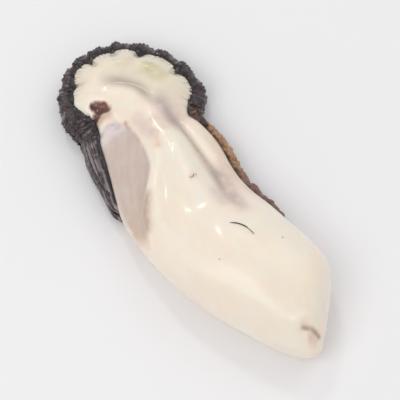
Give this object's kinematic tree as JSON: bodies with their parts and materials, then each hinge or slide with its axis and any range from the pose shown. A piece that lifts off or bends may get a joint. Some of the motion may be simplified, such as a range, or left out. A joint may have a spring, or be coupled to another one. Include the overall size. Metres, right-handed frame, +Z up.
{
  "type": "shucked oyster",
  "caption": "Raw shucked oyster: plump soft body, oval adductor muscle and ruffled, scalloped mantle fringe, lying flat.",
  "frame": {"origin": "under the middle of the bounding box, on the flat underside the oyster rests on", "axes": "+Y along the oyster from the plump body towards the fan of the mantle, +X towards the gill side, +Z up"},
  "size_m": [0.0334, 0.0876, 0.0175],
  "materials": {
    "oyster_flesh": "wet, soft, slightly translucent cream flesh"
  },
  "bodies": {
    "root": {"oyster": "oyster_flesh"}
  },
  "joints": []
}
